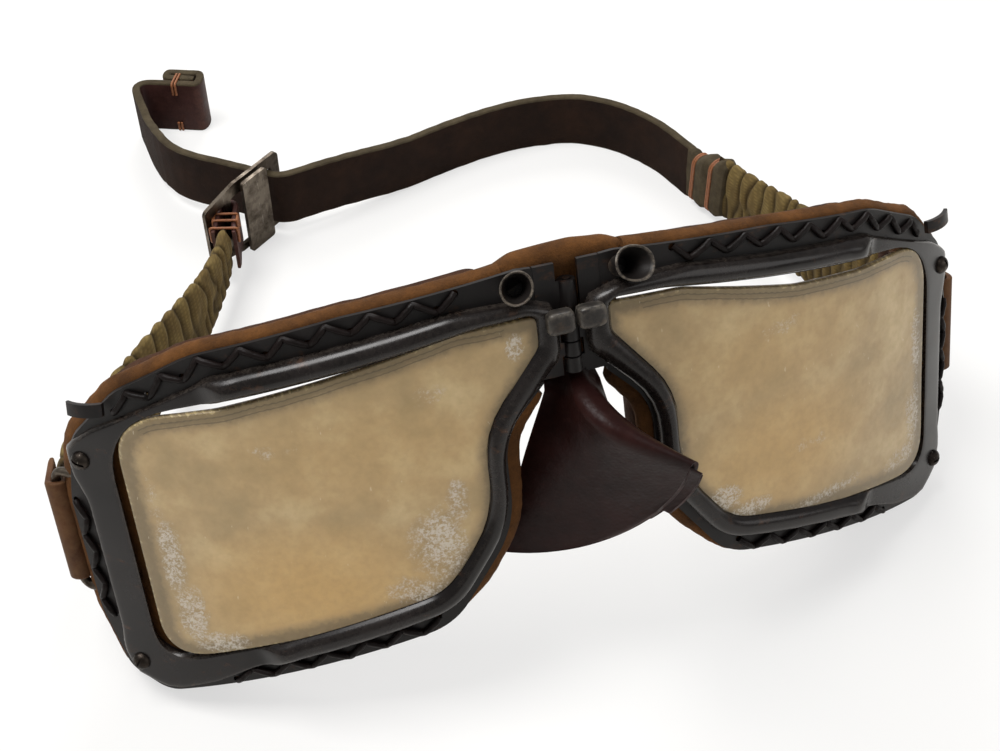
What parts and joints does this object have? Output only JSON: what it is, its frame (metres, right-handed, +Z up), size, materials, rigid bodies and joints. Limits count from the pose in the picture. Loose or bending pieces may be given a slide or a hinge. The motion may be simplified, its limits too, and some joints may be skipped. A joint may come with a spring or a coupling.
{
  "type": "flying goggles",
  "caption": "Two-lens flying goggles with a hinged bridge, curved lenses in black rims, suede masks, a leather nose guard, and a strap with a slide buckle",
  "frame": {"origin": "on the table, under the middle of the whole object's bounding box", "axes": "+Z up from the table, +Y from the lenses back to the strap, +X to the right as seen from the front; the frames lean back 20 degrees"},
  "size_m": [0.1938, 0.2178, 0.0932],
  "materials": {
    "frame_lacquer": "black lacquer on sheet brass, worn at the edges",
    "rim_lacquer": "black lacquer on drawn brass, gunmetal sheen",
    "celluloid": "yellowed clear celluloid, hazy and scratched",
    "plated_screws": "dull plated steel",
    "leather_lace": "thin dark leather lace",
    "hinge_brass": "brass with most of its black finish left",
    "worn_brass": "bright worn brass",
    "vent_lacquer": "black lacquer, bright worn lip",
    "mask_suede": "orange-brown suede, brushed",
    "cushion_suede": "padded suede, matt",
    "nickel_wire": "dull nickel-plated wire",
    "temple_leather": "tan leather, rubbed",
    "shirred_elastic": "khaki gathered elastic webbing",
    "guard_leather": "smooth dark brown leather",
    "strap_leather": "dark brown leather, suede on one face",
    "linen_thread": "waxed orange-tan thread",
    "nickel_plate": "dull nickel plate, stained"
  },
  "bodies": {
    "left_half": {"left_base_frame": "frame_lacquer", "left_front_rim": "rim_lacquer", "left_lens": "celluloid", "left_rim_screws": "plated_screws", "left_lacing": "leather_lace", "left_hinge_leaf": "hinge_brass", "left_bridge_catch": "worn_brass", "left_vent_trumpet": "vent_lacquer", "left_corner_tab": "worn_brass", "left_face_mask": "mask_suede", "left_mask_cushion": "cushion_suede", "left_strap_loop": "nickel_wire", "left_temple_chape": "temple_leather", "left_elastic_strap": "shirred_elastic", "right_elastic_strap": "shirred_elastic", "hinge_pin": "hinge_brass", "bridge_mask": "mask_suede", "rear_strap": "strap_leather", "roll_stitching": "linen_thread", "strap_splice": "strap_leather", "splice_stitching": "linen_thread"},
    "right_half": {"right_base_frame": "frame_lacquer", "right_front_rim": "rim_lacquer", "right_lens": "celluloid", "right_rim_screws": "plated_screws", "right_lacing": "leather_lace", "right_hinge_leaf": "hinge_brass", "right_bridge_catch": "worn_brass", "right_vent_trumpet": "vent_lacquer", "right_corner_tab": "worn_brass", "right_face_mask": "mask_suede", "right_mask_cushion": "cushion_suede", "right_strap_loop": "nickel_wire", "right_temple_chape": "temple_leather"},
    "nose_guard": {"nose_guard": "guard_leather", "nose_guard_backing": "guard_leather"},
    "buckle": {"buckle_frame": "nickel_plate", "buckle_bar": "nickel_plate", "buckle_chape": "strap_leather", "chape_stitching": "linen_thread"}
  },
  "joints": [
    {"name": "bridge_hinge", "type": "hinge", "parent": "left_half", "child": "right_half", "pos_m": [0, -0.0852, 0.0772], "axis": [0, 0.342, 0.9397], "range_deg": [-2, 20], "deforming": ["right_elastic_strap", "bridge_mask"]},
    {"name": "guard_flex", "type": "hinge", "parent": "left_half", "child": "nose_guard", "pos_m": [0.0003, -0.08836, 0.06675], "axis": [-1, 0, 0], "range_deg": [-3, 12], "stiffness_Nm_per_rad": 0.01},
    {"name": "buckle_slide", "type": "slide", "parent": "left_half", "child": "buckle", "axis": [-0.788, 0.6157, 0], "range_m": [0, 0.012], "deforming": ["left_elastic_strap"]}
  ]
}
